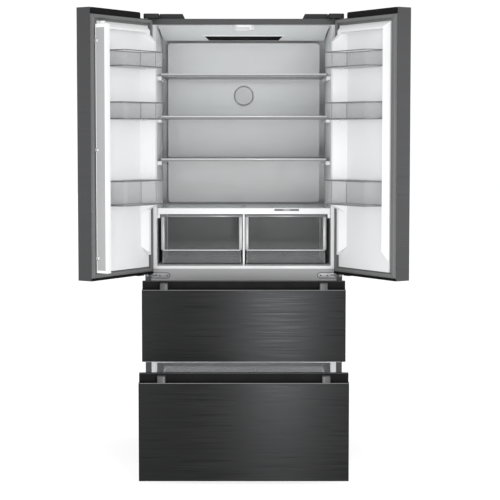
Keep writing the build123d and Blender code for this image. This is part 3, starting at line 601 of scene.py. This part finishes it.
recess = bmesh.new()
heads = bmesh.new()
for side in (-1, 1):
    for x in (-354.0, -324.0):
        centre = (side * x, 797.0)
        # painted shade: each driver recess is a flat near-black star laid on the head, standing in for the
        # dark of the hole
        dome(recess, star_at(centre, 2.3), [(0, -6.9), (-0.2, -7.15)], lay_xz)
        dome(heads, ring_at(centre, 5.0), [(0.1, -3.0), (0.1, -5.2), (-0.7, -6.5), (-2.0, -7.0)], lay_xz)
piece("hinge_screw_heads", heads, "hinge", "cabinet")
piece("hinge_screw_recesses", recess, "dark", "cabinet")

rims = bmesh.new()
for side in (-1, 1):
    ends = [(side * -390, 784.5), (side * -311.2, 784.5), (side * -311.2, 809.5), (side * -390, 809.5)]
    plan = rounded(ends, [1, 12, 12, 1], 8)
    sweep(rims, plan, [(0.4, -0.2), (0.4, -3.3), (-1.0, -3.9), (-2.6, -3.2), (-2.6, -0.2)], lay_xz)
piece("hinge_plate_rims", rims, "grey", "cabinet")

nuts = bmesh.new()
for x in (-355.0, 355.0):
    profile = [(-0.8, 20), (0, 21), (0, 27), (-0.8, 28), (-8.0, 28), (-8.0, 20)]
    sweep(nuts, ring_at((x, 50), 15, 6), profile, lay_xy)
piece("foot_nuts", nuts, "zinc", "cabinet")

# ------------------------------------------------------------------ rear panel
REAR = 611.5
beads = bmesh.new()
for x in (-300.0, -150.0, 0.0, 150.0, 300.0):
    plan = rounded([(x - 15, 420), (x + 15, 420), (x + 15, 1790), (x - 15, 1790)], 14.5, 8)
    dome(beads, plan, [(0, REAR), (-1.5, REAR + 2.0), (-4, REAR + 3.6), (-8, REAR + 4.2)], lay_xz)
piece("rear_panel_beads", beads, "zinc", "cabinet")

back_screws = bmesh.new()
spots = [(x, z) for x in (-402.0, 402.0) for z in (380, 620, 860, 1100, 1340, 1580, 1820)]
spots += [(x, 1858) for x in (-270, -90, 90, 270)]
spots += [(x, 318) for x in (-390, -200, 0, 200, 390)]
for x, z in spots:
    profile = [(0, REAR - 0.5), (0, REAR + 1.2), (-1.5, REAR + 2.4), (-4.0, REAR + 2.8)]
    dome(back_screws, ring_at((x, z), 5.5, 24), profile, lay_xz)
piece("rear_screws", back_screws, "hinge", "cabinet")


# -------------------------------------------------------------- stage, camera
def stage():
    bpy.ops.mesh.primitive_plane_add(size=60)
    floor = bpy.context.object
    floor.name = "floor"
    floor.location = (0, 0, -0.001)
    s = Shader("floor_pale")
    colour = s.ramp(s.noise(0.5, 2.0, 0.5), 0.3, 0.7, (0.34, 0.34, 0.34), (0.36, 0.36, 0.36))
    floor.data.materials.append(
        s.done(colour, None, None, Roughness=0.9, Emission_Strength=0.7, Emission_Color=(1, 1, 1, 1)))


def area_light(name, location, target, size, power):
    data = bpy.data.lights.new(name, "AREA")
    data.shape = "RECTANGLE"
    data.size, data.size_y = size
    data.energy = power
    lamp = bpy.data.objects.new(name, data)
    lamp.location = location
    lamp.rotation_euler = (Vector(target) - Vector(location)).to_track_quat("-Z", "Y").to_euler()
    lamp.visible_camera = False
    bpy.context.scene.collection.objects.link(lamp)


def studio():
    world = bpy.data.worlds.new("studio")
    world.use_nodes = True
    background = world.node_tree.nodes["Background"]
    background.inputs["Color"].default_value = (1.0, 1.0, 1.0, 1)
    background.inputs["Strength"].default_value = 1.03
    bpy.context.scene.world = world
    area_light("key", (1.8, -5.6, 3.4), (0.0, 0, 1.0), (2.4, 2.4), 40)
    area_light("left", (-4.4, -1.9, 1.3), (0, -0.2, 1.1), (2.0, 2.4), 14)
    area_light("right", (4.4, -1.9, 1.3), (0, -0.2, 1.1), (2.0, 2.4), 24)
    area_light("strip", (0.2, -2.9, 0.66), (0.12, 0, 0.55), (0.2, 1.0), 27)
    area_light("edge_strip", (-0.66, -2.9, 0.6), (-0.42, 0, 0.5), (0.08, 1.0), 5)
    area_light("cavity", (0.0, FRONT_Y + 0.26, 1.795), (0.0, FRONT_Y + 0.42, 1.0), (0.5, 0.2), 0.55)
    scene = bpy.context.scene
    scene.view_settings.view_transform = "Standard"
    scene.view_settings.look = "None"


EYE_DISTANCE = 6.381
EYE_HEIGHT = 1.387
LENS_MM = 109.09
TILT_DEG = 3.944
LENS_SHIFT = (0.01244, -0.02)


def camera():
    data = bpy.data.cameras.new("camera")
    data.lens = LENS_MM
    data.sensor_width = 36.0
    data.shift_x, data.shift_y = LENS_SHIFT
    cam = bpy.data.objects.new("camera", data)
    cam.location = (0, FRONT_Y - EYE_DISTANCE, EYE_HEIGHT)
    cam.rotation_euler = (math.radians(90 - TILT_DEG), 0, 0)
    bpy.context.scene.collection.objects.link(cam)
    bpy.context.scene.camera = cam


stage()
studio()
camera()
